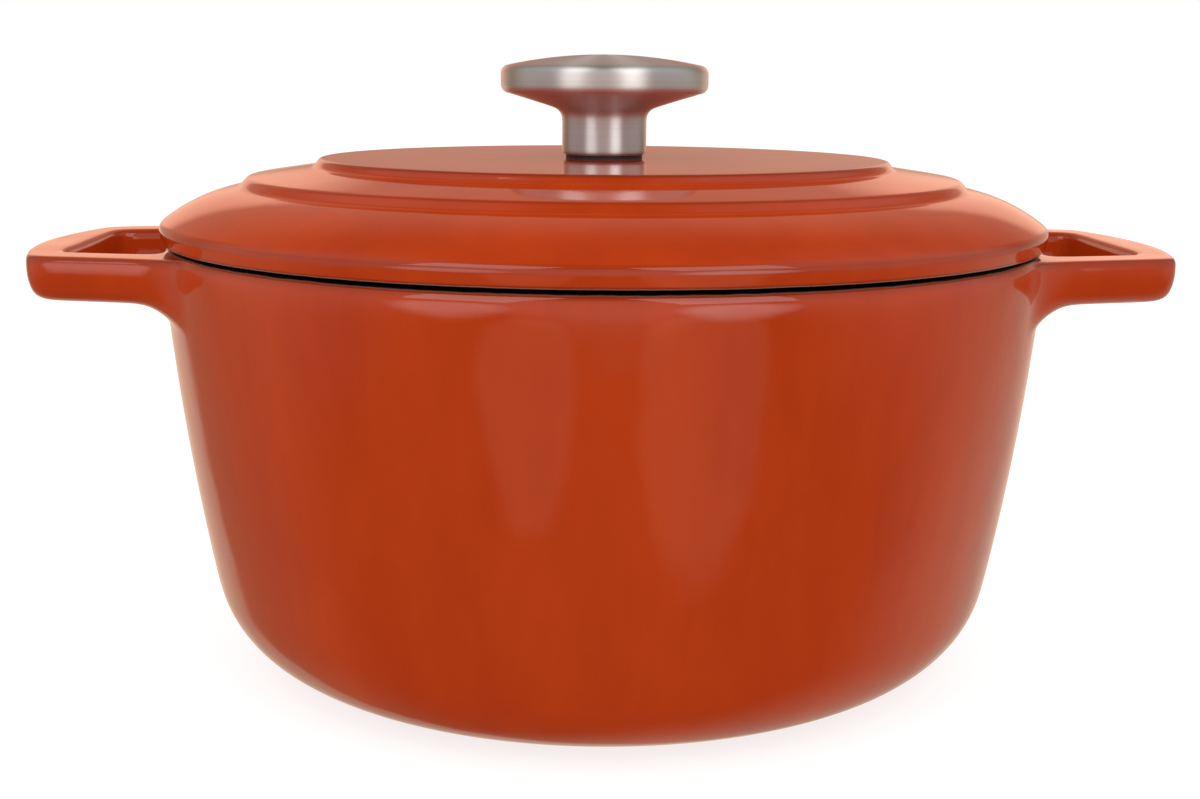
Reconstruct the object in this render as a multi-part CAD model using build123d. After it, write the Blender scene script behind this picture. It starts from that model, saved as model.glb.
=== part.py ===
from build123d import *
from math import asin, degrees, hypot
import os

# Round enamelled cast iron casserole with a lid, in millimetres.
# The origin is the middle of the base, +Z is up, and the loop handles lie along +X and -X.

# pot wall, from the foot to the rim
foot_outer_r = 83.7
foot_inner_r = 75.0
foot_depth = 1.2
corner_radius = 29.4
corner_turn = 79.0
wall_top_r = 124.3
wall_top_z = 115.2
rim_top_z = 119.85

# pot inside
floor_z = 4.2
inner_corner_radius = 25.9
inner_corner_turn = 79.0
inner_wall_r = 119.7
inner_wall_z = 119.35

# loop handles, cast with the pot
handle_top_z = 117.9
handle_thick = 12.6
handle_reach = 160.8
handle_corner = (153.0, 42.6)
handle_root = (100.0, 54.9)
handle_corner_radius = 8.0
handle_top_edge = 2.0
handle_bottom_edge = 7.0
hole_outer_x = 147.4
hole_outer_half = 29.5
hole_root_half = 39.2
hole_corner_radius = 5.0
hole_edge = 2.5
root_radius = 5.0

# lid, about 4 thick
seat_gap = 0.1
lip_low_r = 124.3
lip_high = (125.0, 123.7)
shoulder = (124.35, 125.25)
slope_mid = (114.5, 131.2)
low_step = ((103.0, 134.5), (101.0, 137.1))
plateau_z = 142.1
high_step = ((82.5, 139.8), (81.0, plateau_z))
step_edge = 1.0
plate_under_z = 138.3
under_step = ((78.5, plate_under_z), (81.0, 135.8), (98.5, 133.1), (101.2, 130.6))
under_slope_mid = (108.8, 128.9)
ring_outer_r = 118.9
ring_inner_r = 115.6
ring_root_z = 126.0
ring_drop = 4.0
ring_edge = 1.2
screw_hole_r = 3.3

# knob: a pressed steel cap closed over the rim of a flared hollow stem
gasket_thick = 0.7
gasket_r = 11.0
stem_r = 12.1
stem_bore_r = 7.0
stem_foot_radius = 1.6
neck_z = 152.9
neck_radius = 3.5
neck_turn = 72.0
flare_end = (27.3, 160.1)
shell = 1.4
rim_r = 29.65
rim_low_radius = 2.5
rim_low_turn = 74.0
rim_top_radius = 2.4
dome_z = 171.1
dome_radius = 130.0
insert_top_z = 156.0

# M6 pan head screw and its washers
thread_r = 3.0
washer_hole_r = 3.2
washer_r = 8.0
washer_thick = 1.2
spring_r = 5.6
spring_thick = 1.6
spring_cut = 1.0
head_r = 5.9
head_thick = 4.0
head_edge = 1.5
recess_width = 1.5
recess_length = 6.4
recess_depth = 2.2
screw_top_z = 153.0


# The outline lies in the XZ plane, with the radius along +X.
def turned(outline):
    return revolve(Plane.XZ * make_face(outline), Axis.Z)


def ring(outer_r, inner_r, low_z, high_z):
    outline = Polyline((inner_r, low_z), (outer_r, low_z), (outer_r, high_z), (inner_r, high_z), close=True)
    return turned(outline)


# The wall is one long arc that runs on from the corner arc and turns in over the rim.
def pot_outside():
    corner = JernArc((foot_outer_r, 0), (1, 0), corner_radius, corner_turn)
    wall = TangentArc(corner @ 1, (wall_top_r, wall_top_z), tangent=corner % 1)
    rim_radius = (rim_top_z - wall_top_z) / (1 + (wall % 1).X)
    rim = JernArc(wall @ 1, wall % 1, rim_radius, 90 + Vector(0, 1).get_angle(wall % 1))
    rest = Polyline(rim @ 1, (0, rim_top_z), (0, 0), (foot_outer_r, 0))
    return turned([corner, wall, rim, rest])


def pot_cavity():
    low = (foot_outer_r, floor_z)
    corner = JernArc(low, (1, 0), inner_corner_radius, inner_corner_turn)
    wall = TangentArc(corner @ 1, (inner_wall_r, inner_wall_z), tangent=corner % 1)
    edge_rise = rim_top_z - inner_wall_z
    edge = RadiusArc((inner_wall_r, inner_wall_z), (inner_wall_r + edge_rise, rim_top_z), edge_rise)
    above_z = rim_top_z + edge_rise
    rest = Polyline(edge @ 1, (inner_wall_r + edge_rise, above_z), (0, above_z), (0, floor_z), low)
    return turned([corner, wall, edge, rest])


def handle_plan():
    corner_x, corner_y = handle_corner
    root_x, root_y = handle_root
    end = ThreePointArc((corner_x, -corner_y), (handle_reach, 0), (corner_x, corner_y))
    sides = Polyline((corner_x, corner_y), (root_x, root_y), (root_x, -root_y), (corner_x, -corner_y))
    plan = make_face([end, sides])
    outer = plan.vertices().filter_by(lambda v: v.X > root_x + 1)
    return fillet(outer, handle_corner_radius)


# The hole's plan widens towards the pot and ends inside the pot's wall.
def hole_plan():
    root_x = handle_root[0] - 1
    upper = ((hole_outer_x, hole_outer_half), (root_x, hole_root_half))
    lower = ((root_x, -hole_root_half), (hole_outer_x, -hole_outer_half))
    plan = make_face(Polyline(*upper, *lower, close=True))
    outer = plan.vertices().filter_by(lambda v: v.X > root_x + 1)
    return fillet(outer, hole_corner_radius)


# The edges of a flat slab at one height, without those inside the pot's wall.
def level_edges(slab, z):
    def at_level(edge):
        middle = edge.center()
        return abs(middle.Z - z) < 0.01 and middle.X > handle_root[0] + 1

    return slab.edges().filter_by(at_level)


def around_hole(edge):
    middle = edge.center()
    return middle.X < hole_outer_x + 0.1 and abs(middle.Y) < hole_root_half


def handle():
    under_z = handle_top_z - handle_thick
    slab = Pos(0, 0, under_z) * extrude(handle_plan(), handle_thick)
    slab = fillet(level_edges(slab, handle_top_z), handle_top_edge)
    slab = fillet(level_edges(slab, under_z), handle_bottom_edge)
    loop = slab - Pos(0, 0, under_z) * extrude(hole_plan(), handle_thick)
    for z in (handle_top_z, under_z):
        loop = fillet(level_edges(loop, z).filter_by(around_hole), hole_edge)
    return loop


# The closed lines where the handles' arms meet the pot's wall.
def arm_roots(casting):
    low_z = handle_top_z - handle_thick - 1

    def on_wall(edge):
        middle = edge.center()
        at_arm = hole_outer_half < abs(middle.Y) < handle_root[1]
        at_height = low_z < middle.Z < handle_top_z + 1
        return at_arm and at_height and abs(hypot(middle.X, middle.Y) - wall_top_r) < 1.6

    return casting.edges().filter_by(on_wall)


def pot_body():
    loop = handle()
    casting = pot_outside() + loop + Rot(0, 0, 180) * loop
    casting = fillet(arm_roots(casting), root_radius)
    recess = ring(foot_inner_r, 0, 0, foot_depth)
    return casting - pot_cavity() - recess


# The lid rests on the rim, and a ring below it stands just inside the pot's wall.
def lid():
    seat_z = rim_top_z + seat_gap
    drop_z = seat_z - ring_drop
    side = Polyline((lip_low_r, seat_z), lip_high, shoulder)
    slope = ThreePointArc(shoulder, slope_mid, low_step[0])
    steps = Polyline(*low_step, *high_step, (screw_hole_r, plateau_z))
    under = Polyline((screw_hole_r, plateau_z), (screw_hole_r, plate_under_z), *under_step)
    under_slope = ThreePointArc(under_step[-1], under_slope_mid, (ring_inner_r, ring_root_z))
    ring_in = Polyline((ring_inner_r, ring_root_z), (ring_inner_r, drop_z), (ring_outer_r, drop_z))
    ring_out = Polyline((ring_outer_r, drop_z), (ring_outer_r, seat_z), (lip_low_r, seat_z))
    face = make_face([side, slope, steps, under, under_slope, ring_in, ring_out])
    steps_and_shoulder = face.vertices().filter_by(lambda v: v.X > 2 * screw_hole_r and v.Y > seat_z + 1)
    face = fillet(steps_and_shoulder, step_edge)
    ring_tips = face.vertices().filter_by(lambda v: v.Y < drop_z + 0.01)
    face = fillet(ring_tips, ring_edge)
    return revolve(Plane.XZ * face, Axis.Z)


# The slope of the cap's dome where it meets the rounded edge.
def dome_turn():
    return degrees(asin((rim_r - rim_top_radius) / (dome_radius - rim_top_radius)))


# The solid inside the cap's outline, moved in by the inset: dome, rim and rolled lower edge.
def cap_block(inset):
    dome = JernArc((0, dome_z - inset), (1, 0), dome_radius - inset, -dome_turn())
    edge = JernArc(dome @ 1, dome % 1, rim_top_radius - inset, dome_turn() - 90)
    low_z = flare_end[1] + rim_low_radius
    low = JernArc((rim_r - inset, low_z), (0, -1), rim_low_radius - inset, -rim_low_turn)
    band = Line(edge @ 1, low @ 0)
    rest = Polyline(low @ 1, (0, (low @ 1).Y), (0, dome_z - inset))
    return turned([dome, edge, band, low, rest])


# The cap is open below, up to the edge of the flare that it closes over.
def knob_cap():
    end_r, end_z = flare_end
    return cap_block(0) - cap_block(shell) - ring(end_r, 0, end_z - 1, end_z + 2 * shell)


# The stem runs into the flare by a neck arc, and the flare is a shell open to the cap.
def knob_body():
    foot_z = plateau_z + gasket_thick
    foot = JernArc((stem_r - stem_foot_radius, foot_z), (1, 0), stem_foot_radius, 90)
    neck = JernArc((stem_r, neck_z), (0, 1), neck_radius, -neck_turn)
    spread = TangentArc(neck @ 1, flare_end, tangent=neck % 1)
    end_r, end_z = flare_end
    inner = Polyline(
        (end_r, end_z),
        (end_r, end_z + shell),
        ((neck @ 1).X, (neck @ 1).Y + shell),
        (stem_bore_r, (neck @ 1).Y + shell),
        (stem_bore_r, foot_z),
        (stem_r - stem_foot_radius, foot_z),
    )
    return turned([foot, Line(foot @ 1, neck @ 0), neck, spread, inner])


def knob_insert():
    foot_z = plateau_z + gasket_thick
    return ring(stem_bore_r, thread_r, foot_z, insert_top_z)


def knob_gasket():
    return ring(gasket_r, washer_hole_r, plateau_z, plateau_z + gasket_thick)


def flat_washer():
    return ring(washer_r, washer_hole_r, plate_under_z - washer_thick, plate_under_z)


# A split ring, pressed flat by the screw.
def spring_washer():
    top_z = plate_under_z - washer_thick
    full = ring(spring_r, washer_hole_r, top_z - spring_thick, top_z)
    cut = Pos(spring_r, 0, top_z - spring_thick / 2) * Box(spring_r, spring_cut, 2 * spring_thick)
    return full - cut


# A pan head with a cross recess, head down, threaded up into the insert.
def knob_screw():
    head_z = plate_under_z - washer_thick - spring_thick
    head = Pos(0, 0, head_z - head_thick / 2) * Cylinder(head_r, head_thick)
    head = fillet(head.edges().sort_by(Axis.Z)[0], head_edge)
    shank = Pos(0, 0, (head_z + screw_top_z) / 2) * Cylinder(thread_r, screw_top_z - head_z)
    bar = Box(recess_length, recess_width, 2 * recess_depth)
    cross = Pos(0, 0, head_z - head_thick) * (bar + Rot(0, 0, 90) * bar)
    return head + shank - cross


nodes = {
    "pot_body": pot_body(),
    "lid": lid(),
    "knob_cap": knob_cap(),
    "knob_body": knob_body(),
    "knob_insert": knob_insert(),
    "knob_gasket": knob_gasket(),
    "knob_screw": knob_screw(),
    "flat_washer": flat_washer(),
    "spring_washer": spring_washer(),
}
os.makedirs("parts", exist_ok=True)
for name, shape in nodes.items():
    export_step(shape, f"parts/{name}.step")
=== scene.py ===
import math

import bmesh
import bpy
from mathutils import Matrix, Vector


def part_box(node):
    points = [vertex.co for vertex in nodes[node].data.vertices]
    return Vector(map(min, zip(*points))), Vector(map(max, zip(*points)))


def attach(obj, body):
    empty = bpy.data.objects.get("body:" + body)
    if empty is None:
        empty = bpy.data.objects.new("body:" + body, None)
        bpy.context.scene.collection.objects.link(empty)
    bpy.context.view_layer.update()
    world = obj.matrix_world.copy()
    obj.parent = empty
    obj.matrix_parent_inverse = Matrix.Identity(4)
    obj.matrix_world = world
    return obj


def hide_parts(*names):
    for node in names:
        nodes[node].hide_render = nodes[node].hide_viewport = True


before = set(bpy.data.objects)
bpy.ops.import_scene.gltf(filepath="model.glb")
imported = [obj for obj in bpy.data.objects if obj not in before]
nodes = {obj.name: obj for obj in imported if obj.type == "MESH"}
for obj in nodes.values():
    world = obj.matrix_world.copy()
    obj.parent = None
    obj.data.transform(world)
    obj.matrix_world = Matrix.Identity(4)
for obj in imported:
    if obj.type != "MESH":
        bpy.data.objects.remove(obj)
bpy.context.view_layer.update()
mm = 0.001
print("frame loaded:", ", ".join(sorted(nodes)))


def toLinear(hexColour):
    # sRGB hex to the linear values that shaders use
    parts = [int(hexColour[i:i + 2], 16) / 255 for i in (1, 3, 5)]
    linear = [c / 12.92 if c <= 0.04045 else ((c + 0.055) / 1.055) ** 2.4 for c in parts]
    return (*linear, 1.0)


def addNode(tree, kind, settings=None, links=None):
    # settings hold attributes and socket values, links hold the sockets to join to this node's
    node = tree.nodes.new(kind)
    for key, value in (settings or {}).items():
        if isinstance(key, str) and hasattr(node, key):
            setattr(node, key, value)
        else:
            node.inputs[key].default_value = value
    for key, source in (links or {}).items():
        tree.links.new(source, node.inputs[key])
    return node


def newMaterial(name):
    material = bpy.data.materials.new(name)
    material.use_nodes = True
    material.node_tree.nodes.clear()
    return material, material.node_tree


# vitreous enamel: glass frit sprayed on sand-cast iron and fired
# the eye gets a deep, even colour under a sharp reflection whose edges waver, and a thin dark tone on
# sharp edges where the glass drew back; the seat of the lid is left in the matt black ground coat
def enamel(name, look):
    material, tree = newMaterial(name)
    place = addNode(tree, "ShaderNodeTexCoord").outputs["Object"]

    # sag: slow waves from the spray and the casting; peel: the fine dimples of the fired glass
    sag = addNode(tree, "ShaderNodeTexNoise", {"Scale": 1 / look["sagWidth"], "Detail": 1.0},
                  {"Vector": place})
    peel = addNode(tree, "ShaderNodeTexNoise", {"Scale": 1 / look["peelWidth"], "Detail": 2.0},
                   {"Vector": place})
    sagBump = addNode(tree, "ShaderNodeBump", {"Distance": look["sagDepth"]},
                      {"Height": sag.outputs["Fac"]})
    peelBump = addNode(tree, "ShaderNodeBump", {"Distance": look["peelDepth"]},
                       {"Height": peel.outputs["Fac"], "Normal": sagBump.outputs["Normal"]})

    # the coat is a little thicker and lighter in tall soft runs
    runs = addNode(tree, "ShaderNodeMapping", {"Scale": (1.0, 1.0, 0.3)}, {"Vector": place})
    mottle = addNode(tree, "ShaderNodeTexNoise",
                     {"Scale": 1 / look["mottleWidth"], "Detail": 5.0, "Roughness": 0.6},
                     {"Vector": runs.outputs["Vector"]})
    spread = addNode(tree, "ShaderNodeMapRange", {"From Min": 0.3, "From Max": 0.7},
                     {"Value": mottle.outputs["Fac"]})
    tone = addNode(tree, "ShaderNodeMix",
                   {"data_type": "RGBA", 6: toLinear(look["deep"]), 7: toLinear(look["light"])},
                   {0: spread.outputs["Result"]})

    # sharp edges hold less glass
    edge = addNode(tree, "ShaderNodeAttribute", {"attribute_name": "thinEdge"})
    thin = addNode(tree, "ShaderNodeMapRange",
                   {"From Min": look["thinFrom"], "From Max": look["thinFull"], "To Max": look["thinAmount"]},
                   {"Value": edge.outputs["Fac"]})
    edged = addNode(tree, "ShaderNodeMix", {"data_type": "RGBA", 7: toLinear(look["thin"])},
                    {0: thin.outputs["Result"], 6: tone.outputs[2]})

    # the bare black ground coat lies between two heights, with a hand-wiped edge
    height = addNode(tree, "ShaderNodeSeparateXYZ", None, {"Vector": place}).outputs["Z"]
    wiped = addNode(tree, "ShaderNodeTexNoise", {"Scale": 1 / look["wipeWidth"], "Detail": 3.0},
                    {"Vector": place})
    wander = addNode(tree, "ShaderNodeMapRange",
                     {"From Min": 0.2, "From Max": 0.8,
                      "To Min": -look["wipeDepth"], "To Max": look["wipeDepth"]},
                     {"Value": wiped.outputs["Fac"]})
    level = addNode(tree, "ShaderNodeMath", {"operation": "ADD"}, {0: height, 1: wander.outputs["Result"]})
    low, high = look["groundFrom"], look["groundTo"]
    soft = look["wipeSoft"]
    above = addNode(tree, "ShaderNodeMapRange", {"From Min": low - soft, "From Max": low + soft},
                    {"Value": level.outputs["Value"]})
    below = addNode(tree, "ShaderNodeMapRange", {"From Min": high + soft, "From Max": high - soft},
                    {"Value": level.outputs["Value"]})
    ground = addNode(tree, "ShaderNodeMath", {"operation": "MULTIPLY"},
                     {0: above.outputs["Result"], 1: below.outputs["Result"]}).outputs["Value"]
    # a thin band along both edges of the ground coat, in the fringe colour: partly the enamel's thinned edge,
    # and on the orange glaze a painted highlight standing in for the pale glints along the rim and the lid's
    # lower edge
    fringeAndGlint = addNode(tree, "ShaderNodeMath", {"operation": "PINGPONG", 1: 0.5}, {0: ground})
    fringeAndGlintTone = addNode(tree, "ShaderNodeMix", {"data_type": "RGBA", 7: toLinear(look["fringeAndGlint"])},
                         {0: fringeAndGlint.outputs["Value"], 6: edged.outputs[2]})
    colour = addNode(tree, "ShaderNodeMix", {"data_type": "RGBA", 7: toLinear(look["ground"])},
                     {0: ground, 6: fringeAndGlintTone.outputs[2]})
    roughness = addNode(tree, "ShaderNodeMapRange",
                        {"To Min": look["roughness"], "To Max": look["groundRoughness"]}, {"Value": ground})
    shader = addNode(tree, "ShaderNodeBsdfPrincipled", {"IOR": 1.5},
                     {"Base Color": colour.outputs[2], "Roughness": roughness.outputs["Result"],
                      "Normal": peelBump.outputs["Normal"]})
    addNode(tree, "ShaderNodeOutputMaterial", None, {"Surface": shader.outputs["BSDF"]})
    return material


orangeLook = {
    "deep": "#9A2D09", "light": "#A7350B", "roughness": 0.05, "mottleWidth": 26 * mm,
    "thin": "#5E1A0A", "thinAmount": 0.6, "thinFrom": 0.15, "thinFull": 0.55,  # turn, in radians per mm
    "sagWidth": 22 * mm, "sagDepth": 0.30 * mm, "peelWidth": 5 * mm, "peelDepth": 0.02 * mm,
    "ground": "#0B0605", "groundRoughness": 0.4, "groundFrom": 118.65 * mm, "groundTo": 120.15 * mm,
    # fringe colour: the enamel's thin edge at the ground coat, made pale as a painted highlight for the
    # glints along it
    "fringeAndGlint": "#B9A190", "wipeWidth": 5 * mm, "wipeDepth": 0.12 * mm, "wipeSoft": 0.2 * mm,
}
orangeEnamel = enamel("orange sprayed enamel", orangeLook)
lidEnamel = enamel("orange lid enamel", {**orangeLook, "sagDepth": 0.08 * mm, "peelDepth": 0.004 * mm})
creamLook = {**orangeLook, "deep": "#D8CDB4", "light": "#E4DBC6", "thin": "#B5A68A", "fringeAndGlint": "#8C8070",
             "roughness": 0.10}
creamEnamel = enamel("cream cooking enamel", {**creamLook, "groundFrom": 117.2 * mm, "groundTo": 121 * mm})
lidCreamEnamel = enamel("cream lid enamel", {**creamLook, "groundFrom": 110 * mm, "groundTo": 120.6 * mm})


# stainless steel, turned and brushed round and round
# the eye gets fine rings, and lights that stretch across them into upright streaks
def brushedSteel(name, look):
    material, tree = newMaterial(name)
    place = addNode(tree, "ShaderNodeTexCoord").outputs["Object"]
    along = addNode(tree, "ShaderNodeSeparateXYZ", None, {"Vector": place})
    flat = addNode(tree, "ShaderNodeVectorMath", {"operation": "MULTIPLY", 1: (1, 1, 0)}, {0: place})
    radius = addNode(tree, "ShaderNodeVectorMath", {"operation": "LENGTH"}, {0: flat.outputs["Vector"]})
    ringPlace = addNode(tree, "ShaderNodeCombineXYZ", None,
                        {"X": radius.outputs["Value"], "Y": along.outputs["Z"]})
    rings = addNode(tree, "ShaderNodeTexNoise",
                    {"noise_dimensions": "2D", "Scale": 1 / look["ringWidth"],
                     "Detail": 3.0, "Roughness": 0.7},
                    {"Vector": ringPlace.outputs["Vector"]})
    smudge = addNode(tree, "ShaderNodeTexNoise", {"Scale": 1 / look["smudgeWidth"], "Detail": 3.0},
                     {"Vector": place})
    tone = addNode(tree, "ShaderNodeMix",
                   {"data_type": "RGBA", 6: toLinear(look["dark"]), 7: toLinear(look["light"])},
                   {0: rings.outputs["Fac"]})
    rub = addNode(tree, "ShaderNodeMapRange", {"To Min": look["smooth"], "To Max": look["rough"]},
                  {"Value": smudge.outputs["Fac"]})
    bump = addNode(tree, "ShaderNodeBump", {"Distance": look["ringDepth"]},
                   {"Height": rings.outputs["Fac"]})
    tangent = addNode(tree, "ShaderNodeTangent", {"direction_type": "RADIAL", "axis": "Z"})
    shader = addNode(tree, "ShaderNodeBsdfPrincipled",
                     {"Metallic": 1.0, "Anisotropic": look["stretch"], "Anisotropic Rotation": 0.25},
                     {"Base Color": tone.outputs[2], "Roughness": rub.outputs["Result"],
                      "Normal": bump.outputs["Normal"], "Tangent": tangent.outputs["Tangent"]})
    addNode(tree, "ShaderNodeOutputMaterial", None, {"Surface": shader.outputs["BSDF"]})
    return material


# real brushing is about 0.05 mm wide; it is drawn at 0.3 mm so that the rings show
steel = brushedSteel("brushed stainless steel", {
    "dark": "#C8C6C4", "light": "#E4E2E0", "smooth": 0.36, "rough": 0.44, "stretch": 0.88,
    "ringWidth": 0.3 * mm, "ringDepth": 0.002 * mm, "smudgeWidth": 9 * mm,
})


# zinc plate on cold-formed steel: a dull bright metal with a faint bluish bloom
def zincPlate(name):
    material, tree = newMaterial(name)
    place = addNode(tree, "ShaderNodeTexCoord").outputs["Object"]
    bloom = addNode(tree, "ShaderNodeTexNoise", {"Scale": 1 / (1.5 * mm), "Detail": 4.0}, {"Vector": place})
    tone = addNode(tree, "ShaderNodeMix",
                   {"data_type": "RGBA", 6: toLinear("#8F949B"), 7: toLinear("#BFC2C6")},
                   {0: bloom.outputs["Fac"]})
    bump = addNode(tree, "ShaderNodeBump", {"Distance": 0.01 * mm}, {"Height": bloom.outputs["Fac"]})
    shader = addNode(tree, "ShaderNodeBsdfPrincipled", {"Metallic": 1.0, "Roughness": 0.38},
                     {"Base Color": tone.outputs[2], "Normal": bump.outputs["Normal"]})
    addNode(tree, "ShaderNodeOutputMaterial", None, {"Surface": shader.outputs["BSDF"]})
    return material


# moulded silicone rubber: dark and soft, with a fine matt grain
def silicone(name):
    material, tree = newMaterial(name)
    place = addNode(tree, "ShaderNodeTexCoord").outputs["Object"]
    grain = addNode(tree, "ShaderNodeTexNoise", {"Scale": 1 / (0.4 * mm), "Detail": 2.0}, {"Vector": place})
    tone = addNode(tree, "ShaderNodeMix",
                   {"data_type": "RGBA", 6: toLinear("#141212"), 7: toLinear("#232020")},
                   {0: grain.outputs["Fac"]})
    bump = addNode(tree, "ShaderNodeBump", {"Distance": 0.02 * mm}, {"Height": grain.outputs["Fac"]})
    shader = addNode(tree, "ShaderNodeBsdfPrincipled", {"Roughness": 0.55, "IOR": 1.43},
                     {"Base Color": tone.outputs[2], "Normal": bump.outputs["Normal"]})
    addNode(tree, "ShaderNodeOutputMaterial", None, {"Surface": shader.outputs["BSDF"]})
    return material


plated = zincPlate("zinc plated steel")
gasketRubber = silicone("black silicone")
keptNodes = {"knob_insert": plated, "knob_screw": plated, "flat_washer": plated, "spring_washer": plated,
             "knob_gasket": gasketRubber}
for name, material in keptNodes.items():
    nodes[name].data.materials.clear()
    nodes[name].data.materials.append(material)
print("materials made")


# shapes are made in millimetres and scaled to metres when finished
def arc(centre, radius, fromDeg, toDeg, count):
    # points along an arc in the outline's plane, both ends included
    turns = [math.radians(fromDeg + (toDeg - fromDeg) * i / count) for i in range(count + 1)]
    return [(centre[0] + radius * math.cos(t), centre[1] + radius * math.sin(t)) for t in turns]


def wire(mesh, outline, closed=False):
    # a chain of vertices in the XZ plane; a third number rounds that corner
    verts = [mesh.verts.new((point[0], 0, point[1])) for point in outline]
    for a, b in zip(verts, verts[1:]):
        mesh.edges.new((a, b))
    if closed:
        mesh.edges.new((verts[-1], verts[0]))
    for vert, point in zip(verts, outline):
        if len(point) > 2:
            bmesh.ops.bevel(mesh, geom=[vert], offset=point[2], offset_type="OFFSET", segments=3,
                            profile=0.5, affect="VERTICES", material=-1)


def spun(mesh, degrees, steps):
    bmesh.ops.spin(mesh, geom=mesh.verts[:] + mesh.edges[:], cent=(0, 0, 0), axis=(0, 0, 1),
                   dvec=(0, 0, 0), angle=math.radians(degrees), steps=steps, use_merge=degrees == 360)
    bmesh.ops.remove_doubles(mesh, verts=mesh.verts, dist=0.001)


def markThinEdges(mesh):
    # how sharply the surface turns at each vertex, in radians per millimetre
    layer = mesh.verts.layers.float.new("thinEdge")
    for edge in mesh.edges:
        if edge.is_manifold:
            widths = sum(face.calc_area() for face in edge.link_faces) / edge.calc_length()
            turn = 2 * edge.calc_face_angle_signed() / widths
            for vert in edge.verts:
                vert[layer] = max(vert[layer], turn)


def finished(mesh, name, material, levels=2):
    # scales to metres, smooths, and puts the piece in the scene
    bmesh.ops.recalc_face_normals(mesh, faces=mesh.faces)
    markThinEdges(mesh)
    bmesh.ops.scale(mesh, vec=(mm, mm, mm), verts=mesh.verts)
    for face in mesh.faces:
        face.smooth = True
    data = bpy.data.meshes.new(name)
    mesh.to_mesh(data)
    mesh.free()
    for one in material if isinstance(material, list) else [material]:
        data.materials.append(one)
    piece = bpy.data.objects.new(name, data)
    bpy.context.scene.collection.objects.link(piece)
    if levels:
        smoother = piece.modifiers.new("smooth", "SUBSURF")
        smoother.levels = smoother.render_levels = levels
    return piece


# pot: a quarter turn of the wall, half a handle drawn out of it, then mirrored twice
potShape = {
    "footR": 83.7, "footInnerR": 75.0, "footRise": 1.2,
    "cornerR": 29.4, "cornerTurn": 79.0, "wallTop": (124.3, 115.2),
    "floor": 4.2, "innerCornerR": 25.9, "innerWallTop": (119.7, 119.35),
    "baseRings": (0, 38, 68), "footMiddleR": 79, "wallRows": (33, 45, 59, 73, 86), "rowOverArm": 107.5,
    "rimTurns": (60, 82), "insideRows": (117.5, 108, 96, 80, 64, 48, 35), "floorRings": (64, 34, 0),
    "columns": 24, "armColumns": (4, 7), "armLow": 100.6, "armFillet": 3, "wallPastR": 121,
    "handleTop": 117.9, "handleThick": 12.6, "topEdge": 3.4, "holeEdge": 4.2, "holeEndX": 147.4,
    "underEdge": 6.8, "underCut": 1.4, "creamInsideR": 119.9, "creamAboveZ": 3,
}
# each station of the arm: a point on the side of the hole, and one on the outer side of the handle
armStations = [
    ((124.9, 34.0), (118.4, 50.6)), ((129.5, 33.1), (127.5, 48.5)), ((139.2, 31.1), (146.0, 44.2)),
    ((145.9, 29.8), (153.0, 42.6)), ((147.4, 25.5), (155.6, 34.6)), ((147.4, 17.0), (158.7, 22.5)),
]


def wallArc(centreR, lowZ, radius, turn, top):
    # the circle that leaves the corner arc without a kink and passes through the wall's top
    low = Vector((centreR + radius * math.sin(turn), lowZ + radius * (1 - math.cos(turn))))
    chord = Vector(top) - low
    halfTurn = math.atan2(chord.y, chord.x) - turn
    size = chord.length / 2 / math.sin(halfTurn)
    return low, low + size * Vector((-math.sin(turn), math.cos(turn))), size


def onWall(centre, size, heights):
    return [(centre.x + math.sqrt(size ** 2 - (z - centre.y) ** 2), z) for z in heights]


def potOutline(shape):
    turn = math.radians(shape["cornerTurn"])
    topR, topZ = shape["wallTop"]
    low, centre, size = wallArc(shape["footR"], 0, shape["cornerR"], turn, shape["wallTop"])
    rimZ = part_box("pot_body")[1].z / mm
    lean = math.asin((centre.y - topZ) / size)
    rimR = (rimZ - topZ) / (1 + math.sin(lean))
    rimCentre = (topR - rimR * math.cos(lean), topZ + rimR * math.sin(lean))
    handleTurn = math.degrees(math.asin((shape["handleTop"] - rimCentre[1]) / rimR))
    base = [(r, shape["footRise"]) for r in shape["baseRings"]]
    foot = [(shape["footInnerR"] - 0.6, shape["footRise"]), (shape["footInnerR"] + 0.2, 0)]
    foot += [(shape["footMiddleR"], 0)]
    corner = arc((shape["footR"], shape["cornerR"]), shape["cornerR"], -90, shape["cornerTurn"] - 90, 8)
    armRows = (shape["armLow"] - shape["armFillet"], shape["armLow"], shape["rowOverArm"])
    wall = onWall(centre, size, (*shape["wallRows"], *armRows, topZ))
    rim = [arc(rimCentre, rimR, t, t, 1)[0] for t in (handleTurn, *shape["rimTurns"])]
    innerR, innerZ = shape["innerWallTop"]
    crest = [(innerR + 0.2, rimZ - 0.1), (innerR, innerZ)]
    low, centre, size = wallArc(shape["footR"], shape["floor"], shape["innerCornerR"], turn,
                                shape["innerWallTop"])
    inside = onWall(centre, size, shape["insideRows"])
    innerCentre = (shape["footR"], shape["floor"] + shape["innerCornerR"])
    innerCorner = arc(innerCentre, shape["innerCornerR"], shape["cornerTurn"] - 90, -90, 7)
    floor = [(r, shape["floor"]) for r in shape["floorRings"]]
    return base + foot + corner + wall + rim + crest + inside + innerCorner + floor


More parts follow.
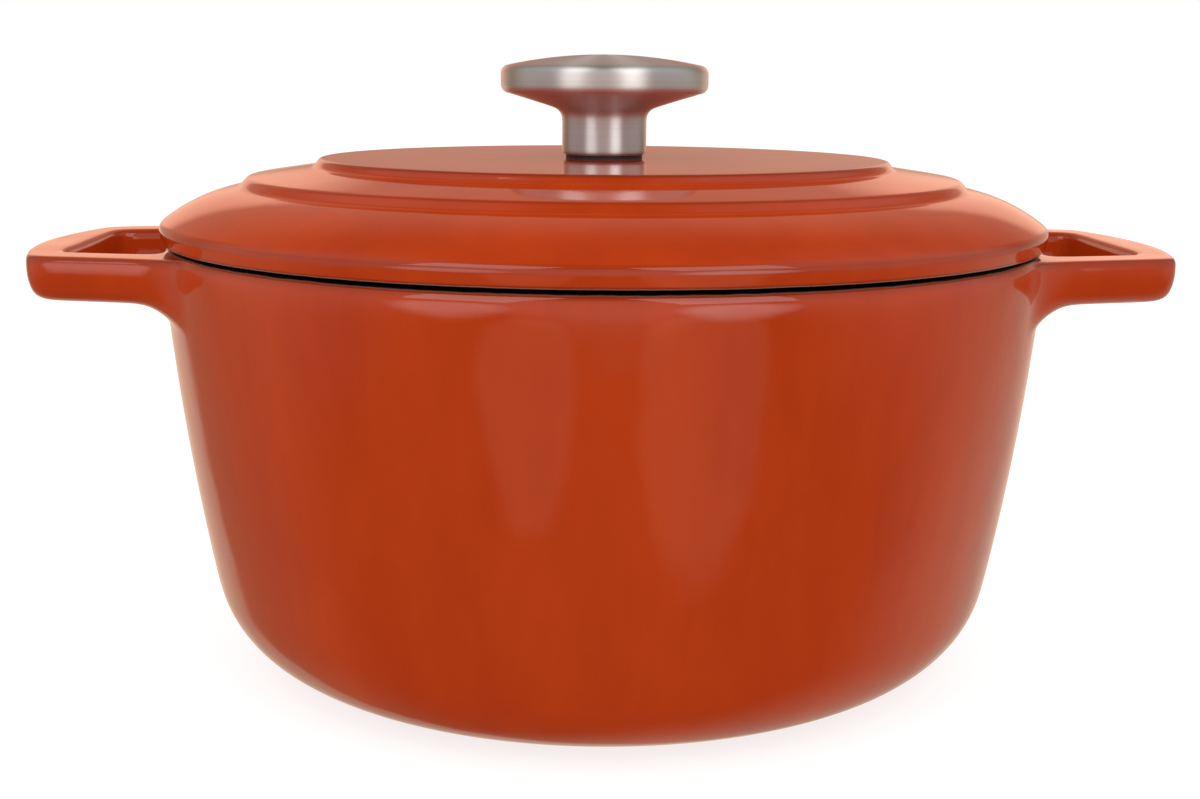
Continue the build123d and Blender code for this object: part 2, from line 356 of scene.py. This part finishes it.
def armRing(mesh, shape):
    # opens the wall where an arm grows and returns the opening's corners and side points in order
    first, last = [90 / shape["columns"] * c for c in shape["armColumns"]]
    top, low = shape["handleTop"], shape["armLow"]

    def angle(co):
        return math.degrees(math.atan2(co.y, co.x))

    def inside(face):
        c = face.calc_center_median()
        return c.xy.length > shape["wallPastR"] and low < c.z < top and first < angle(c) < last

    gone = [f for f in mesh.faces if inside(f)]
    ring = {e for f in gone for e in f.edges if any(other not in gone for other in e.link_faces)}
    verts = {v for e in ring for v in e.verts}
    bmesh.ops.delete(mesh, geom=gone, context="FACES")
    columns = sorted({round(angle(v.co), 2) for v in verts})
    rows = sorted({round(v.co.z, 2) for v in verts})
    path = [(c, rows[-1]) for c in columns] + [(columns[-1], z) for z in rows[-2::-1]]
    path += [(c, rows[0]) for c in columns[-2::-1]] + [(columns[0], z) for z in rows[1:-1]]
    found = {(round(angle(v.co), 2), round(v.co.z, 2)): v for v in verts}
    return [found[p] for p in path]


def growArm(mesh, ring, stations, shape):
    # draws the opening's ring out of the wall, through one handle section at each station
    top, thick = shape["handleTop"], shape["handleThick"]
    low = top - thick
    fromHole, fromOuter = "hole", "outer"
    section = [
        (fromHole, 0, top), (fromHole, shape["holeEdge"], top), (fromOuter, shape["topEdge"], top),
        (fromOuter, 0, top), (fromOuter, 0, top - shape["topEdge"]), (fromOuter, 0, low + shape["underEdge"]),
        (fromOuter, shape["underCut"], low + shape["underCut"]), (fromOuter, shape["underEdge"], low),
        (fromHole, shape["holeEdge"], low), (fromHole, 0, low), (fromHole, 0, low + shape["holeEdge"]),
        (fromHole, 0, top - shape["holeEdge"]),
    ]
    for hole, outer in stations:
        across = (Vector(outer) - Vector(hole)).normalized()
        edges = [mesh.edges.get((a, b)) for a, b in zip(ring, ring[1:] + ring[:1])]
        made = bmesh.ops.extrude_edge_only(mesh, edges=edges)["geom"]
        fresh = {tuple(v.co): v for v in made if isinstance(v, bmesh.types.BMVert)}
        ring = [fresh[tuple(v.co)] for v in ring]
        for vert, (side, inset, z) in zip(ring, section):
            flat = Vector(hole) + across * inset if side == fromHole else Vector(outer) - across * inset
            vert.co = (flat.x, flat.y, z)
    return ring


def makePot():
    mesh = bmesh.new()
    wire(mesh, potOutline(potShape))
    spun(mesh, 90, potShape["columns"])
    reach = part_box("pot_body")[1].x / mm
    holeEnd = potShape["holeEndX"]
    stations = armStations + [((holeEnd, 9.0), (reach - 0.4, 10.5)), ((holeEnd, 0), (reach, 0))]
    growArm(mesh, armRing(mesh, potShape), stations, potShape)
    for axis in ("Y", "X"):
        bmesh.ops.mirror(mesh, geom=mesh.verts[:] + mesh.edges[:] + mesh.faces[:],
                         matrix=Matrix.Identity(4), merge_dist=0.001, axis=axis)
    bmesh.ops.recalc_face_normals(mesh, faces=mesh.faces)
    for face in mesh.faces:
        c = face.calc_center_median()
        inward = face.normal.xy.dot(c.xy) < 0 or face.normal.z > 0.3
        within = c.xy.length < potShape["creamInsideR"] and c.z > potShape["creamAboveZ"]
        face.material_index = 1 if within and inward else 0
    pot = finished(mesh, "potCasting", [orangeEnamel, creamEnamel])
    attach(pot, "pot")
    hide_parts("pot_body")


# lid: one closed outline, turned
lidShape = {
    "lipLowR": 124.3, "lip": (125.0, 123.7), "shoulder": (124.35, 125.25),
    "slopeMid": (114.5, 131.2), "lowStep": ((103.0, 134.5), (101.0, 137.1)),
    "highStep": ((82.5, 139.8), (81.0, 142.1)), "seat": 119.95, "ringDrop": 4.0, "ring": (118.9, 115.6),
    "plateUnder": 138.3, "underStep": ((78.5, 138.3), (81.0, 135.8), (98.5, 133.1), (101.2, 130.6)),
    "underSlopeMid": (108.8, 128.9), "ringRoot": 126.0, "hole": 3.3, "edge": 0.9,
    "terraceR": 92, "flatRings": (60, 30, 12), "steps": 76,
}


def bowed(a, middle, b, count):
    # points on the shallow curve from a to b that rises to the middle point, without its ends
    a, middle, b = Vector(a), Vector(middle), Vector(b)
    chord = b - a
    across = Vector((-chord.y, chord.x)).normalized()
    rise = (middle - (a + b) / 2).dot(across)
    steps = [i / count for i in range(1, count)]
    return [tuple(a + chord * t + across * 4 * rise * t * (1 - t)) for t in steps]


def makeLid():
    s = lidShape
    edge, topZ = s["edge"], s["highStep"][1][1]
    low, high = s["lowStep"], s["highStep"]
    under = s["underStep"]
    outline = [(s["lipLowR"], s["seat"], 0.5), (*s["lip"], 0.8), (*s["shoulder"], 0.8)]
    outline += bowed(s["shoulder"], s["slopeMid"], low[0], 5)
    outline += [(*low[0], edge), (*low[1], edge), (s["terraceR"], (low[1][1] + high[0][1]) / 2)]
    outline += [(*high[0], edge), (*high[1], edge)]
    outline += [(r, topZ) for r in s["flatRings"]] + [(s["hole"], topZ, 0.5)]
    outline += [(s["hole"], s["plateUnder"], 0.5)] + [(r, s["plateUnder"]) for r in s["flatRings"][::-1]]
    outline += [(*point, edge) for point in under]
    outline += bowed(under[-1], s["underSlopeMid"], (s["ring"][1], s["ringRoot"]), 3)
    drop = s["seat"] - s["ringDrop"]
    outline += [(s["ring"][1], s["ringRoot"], 1.5), (s["ring"][1], drop, 1.2), (s["ring"][0], drop, 1.2)]
    outline += [(s["ring"][0], s["seat"], 0.4)]
    mesh = bmesh.new()
    wire(mesh, outline, closed=True)
    spun(mesh, 360, s["steps"])
    bmesh.ops.recalc_face_normals(mesh, faces=mesh.faces)
    for face in mesh.faces:
        centre = face.calc_center_median()
        underside = face.normal.z < 0 or centre.z < s["ringRoot"]
        face.material_index = 1 if underside and centre.xy.length < s["ring"][0] + 1 else 0
    lid = finished(mesh, "lidCasting", [lidEnamel, lidCreamEnamel])
    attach(lid, "lid")
    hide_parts("lid")


# knob: a pressed cap closed over a flared, turned stem
knobShape = {
    "stemR": 12.1, "stemBoreR": 7.0, "footEdge": 1.4, "neckZ": 152.9, "neckR": 3.5, "neckTurn": 72,
    "flareEnd": (27.3, 160.1), "shell": 1.4, "rimR": 29.65, "lowR": 2.5, "topR": 2.4,
    "domeR": 130.0, "lowTurn": 86, "flareBow": 0.06,
}


def capOutline(inset):
    s = knobShape
    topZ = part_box("knob_cap")[1].z / mm
    domeTurn = math.degrees(math.asin((s["rimR"] - s["topR"]) / (s["domeR"] - s["topR"])))
    domeCentre = (0, topZ - s["domeR"])
    edgeReach = s["domeR"] - s["topR"]
    edgeCentre = (s["rimR"] - s["topR"], domeCentre[1] + edgeReach * math.cos(math.radians(domeTurn)))
    lowCentre = (s["rimR"] - s["lowR"], s["flareEnd"][1] + s["lowR"])
    dome = arc(domeCentre, s["domeR"] - inset, 90, 90 - domeTurn, 6)
    edge = arc(edgeCentre, s["topR"] - inset, 90 - domeTurn, 0, 4)
    low = arc(lowCentre, s["lowR"] - inset, 0, -s["lowTurn"], 5)
    return dome + edge[1:] + low


def makeKnob():
    s = knobShape
    mesh = bmesh.new()
    wire(mesh, capOutline(0) + capOutline(s["shell"])[::-1])
    spun(mesh, 360, 64)
    cap = finished(mesh, "knobCap", steel)
    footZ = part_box("knob_body")[0].z / mm
    endR, endZ = s["flareEnd"]
    neck = arc((s["stemR"] + s["neckR"], s["neckZ"]), s["neckR"], 180, 180 - s["neckTurn"], 4)
    bend = neck[-1]
    outline = [(s["stemR"], footZ, s["footEdge"]), (s["stemR"], footZ + 4), (s["stemR"], s["neckZ"] - 2)]
    outline += neck
    flareMiddle = ((bend[0] + endR) / 2, (bend[1] + endZ) / 2 + s["flareBow"])
    outline += bowed(bend, flareMiddle, (endR, endZ), 3)
    outline += [(endR, endZ, 0.2), (endR, endZ + s["shell"], 0.2), (bend[0], bend[1] + s["shell"])]
    outline += [(s["stemBoreR"], bend[1] + s["shell"], 0.3), (s["stemBoreR"], footZ, 0.3)]
    mesh = bmesh.new()
    wire(mesh, outline, closed=True)
    spun(mesh, 360, 64)
    stem = finished(mesh, "knobStem", steel)
    for piece, node in ((cap, "knob_cap"), (stem, "knob_body")):
        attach(piece, "lid")
        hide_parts(node)


makePot()
makeLid()
makeKnob()
print("shapes made")


# studio: a pale table under a soft white dome, with two soft boxes above the front
def softBox(name, look):
    light = bpy.data.lights.new(name, "AREA")
    light.shape = "RECTANGLE"
    light.size, light.size_y = look["size"]
    light.energy = look["power"]
    lamp = bpy.data.objects.new(name, light)
    bpy.context.scene.collection.objects.link(lamp)
    across, up = math.radians(look["across"]), math.radians(look["up"])
    away = Vector((math.sin(across) * math.cos(up), -math.cos(across) * math.cos(up), math.sin(up)))
    lamp.location = Vector((0, 0, 0.1)) + away * look["distance"]
    lamp.rotation_euler = away.to_track_quat("Z", "Y").to_euler()


softBox("leftBox", {"size": (0.55, 0.75), "power": 2.4, "across": -38, "up": 42, "distance": 1.2})
softBox("rightBox", {"size": (0.60, 0.75), "power": 2.6, "across": 30, "up": 42, "distance": 1.2})


# the table glows a little, as a light table does, so that shadows stay faint on it
def makeTable(look):
    material, tree = newMaterial("white light table")
    grain = addNode(tree, "ShaderNodeTexNoise", {"Scale": look["grain"], "Detail": 2.0})
    tone = addNode(tree, "ShaderNodeMix",
                   {"data_type": "RGBA", 6: toLinear("#F4F3F1"), 7: toLinear("#FAF9F8")},
                   {0: grain.outputs["Fac"]})
    shader = addNode(tree, "ShaderNodeBsdfPrincipled",
                     {"Roughness": 0.7, "Emission Color": (1, 1, 1, 1), "Emission Strength": look["glow"]})
    shade = addNode(tree, "ShaderNodeMix", {"data_type": "RGBA", "blend_type": "MULTIPLY", 0: 1.0,
                                            7: (look["albedo"], look["albedo"], look["albedo"], 1)},
                    {6: tone.outputs[2]})
    tree.links.new(shade.outputs[2], shader.inputs["Base Color"])
    addNode(tree, "ShaderNodeOutputMaterial", None, {"Surface": shader.outputs["BSDF"]})
    mesh = bmesh.new()
    bmesh.ops.create_grid(mesh, x_segments=1, y_segments=1, size=look["half"])
    data = bpy.data.meshes.new("table")
    mesh.to_mesh(data)
    mesh.free()
    data.materials.append(material)
    table = bpy.data.objects.new("table", data)
    bpy.context.scene.collection.objects.link(table)
    table.visible_glossy = False  # the enamel mirrors the studio's walls, not the table


makeTable({"grain": 6.0, "glow": 0.8, "albedo": 0.3, "half": 20})


# the dome lights everything evenly; what the glaze and steel mirror is a dim room with paler walls
def makeWorld(look):
    world = bpy.data.worlds.new("studio")
    world.use_nodes = True
    tree = world.node_tree
    tree.nodes.clear()
    direction = addNode(tree, "ShaderNodeTexCoord").outputs["Generated"]
    seen = addNode(tree, "ShaderNodeRGB").outputs["Color"]
    seen.default_value = look["room"]
    for towards, fromAngle, toAngle, colour in look["walls"]:
        facing = addNode(tree, "ShaderNodeVectorMath",
                         {"operation": "DOT_PRODUCT", 1: Vector(towards).normalized()}, {0: direction})
        glow = addNode(tree, "ShaderNodeMapRange",
                       {"interpolation_type": "SMOOTHSTEP", "From Min": math.cos(math.radians(fromAngle)),
                        "From Max": math.cos(math.radians(toAngle))}, {"Value": facing.outputs["Value"]})
        seen = addNode(tree, "ShaderNodeMix", {"data_type": "RGBA", "blend_type": "ADD", 7: colour},
                       {0: glow.outputs["Result"], 6: seen}).outputs[2]
    rise = addNode(tree, "ShaderNodeSeparateXYZ", None, {"Vector": direction})
    dome = addNode(tree, "ShaderNodeMapRange", {"To Min": look["domeLow"], "To Max": look["domeTop"]},
                   {"Value": rise.outputs["Z"]})
    path = addNode(tree, "ShaderNodeLightPath")
    lit = addNode(tree, "ShaderNodeMix", {"data_type": "RGBA"},
                  {0: path.outputs["Is Glossy Ray"], 6: dome.outputs["Result"], 7: seen})
    shown = addNode(tree, "ShaderNodeMix", {"data_type": "RGBA", 7: (1, 1, 1, 1)},
                    {0: path.outputs["Is Camera Ray"], 6: lit.outputs[2]})
    background = addNode(tree, "ShaderNodeBackground", None, {"Color": shown.outputs[2]})
    addNode(tree, "ShaderNodeOutputWorld", None, {"Surface": background.outputs["Background"]})
    bpy.context.scene.world = world


# each wall: its direction, the angles where its light fades in and is full, and its colour
makeWorld({
    "room": (0.10, 0.09, 0.07, 1), "domeLow": 0.7, "domeTop": 1.3,
    "walls": [
        ((0, 1, 0.2), 55, 25, (0.44, 0.20, 0.14, 1)),
        ((0.35, 0.92, 0.16), 11, 5, (0.72, 0.39, 0.27, 1)),
        ((-0.28, 0.95, 0.16), 11, 5, (0.72, 0.38, 0.26, 1)),
        ((0, -0.95, 0.3), 40, 20, (0.70, 0.67, 0.66, 1)),
        ((-0.64, -0.77, 0.08), 18, 7, (1.7, 1.65, 1.65, 1)),
        ((0.50, -0.86, 0.08), 18, 7, (2.1, 2.05, 2.05, 1)),
        ((-0.9, -0.2, 0.5), 55, 20, (0.45, 0.46, 0.47, 1)),
        ((0.9, -0.2, 0.5), 55, 20, (0.48, 0.50, 0.51, 1)),
        ((-0.25, 0.9, -0.45), 29, 24, (0.28, 0.30, 0.24, 1)),
        ((-0.8, 0.6, -0.4), 50, 12, (0.20, 0.17, 0.12, 1)),
        ((0.75, 0.75, -0.7), 55, 12, (0.44, 0.42, 0.34, 1)),
        ((-0.33, -0.85, -0.34), 13, 9, (0.36, 0.32, 0.24, 1)),
        ((0.36, -0.85, -0.34), 17, 12, (0.38, 0.34, 0.26, 1)),
    ],
})
bpy.context.scene.view_settings.view_transform = "Standard"
print("studio made")

# the view: turned a little from square on, and down
view = {"place": (-0.02022, -0.46676, 0.16585), "turn": -2.4, "down": 11.49, "roll": 0.42, "lens": 48.16}
camera = bpy.data.cameras.new("camera")
camera.lens = view["lens"]
camera.sensor_width = 36
cameraObject = bpy.data.objects.new("camera", camera)
bpy.context.scene.collection.objects.link(cameraObject)
cameraObject.matrix_world = (
    Matrix.Translation(view["place"])
    @ Matrix.Rotation(math.radians(view["turn"]), 4, "Z")
    @ Matrix.Rotation(math.radians(90 - view["down"]), 4, "X")
    @ Matrix.Rotation(math.radians(view["roll"]), 4, "Z")
)
bpy.context.scene.camera = cameraObject
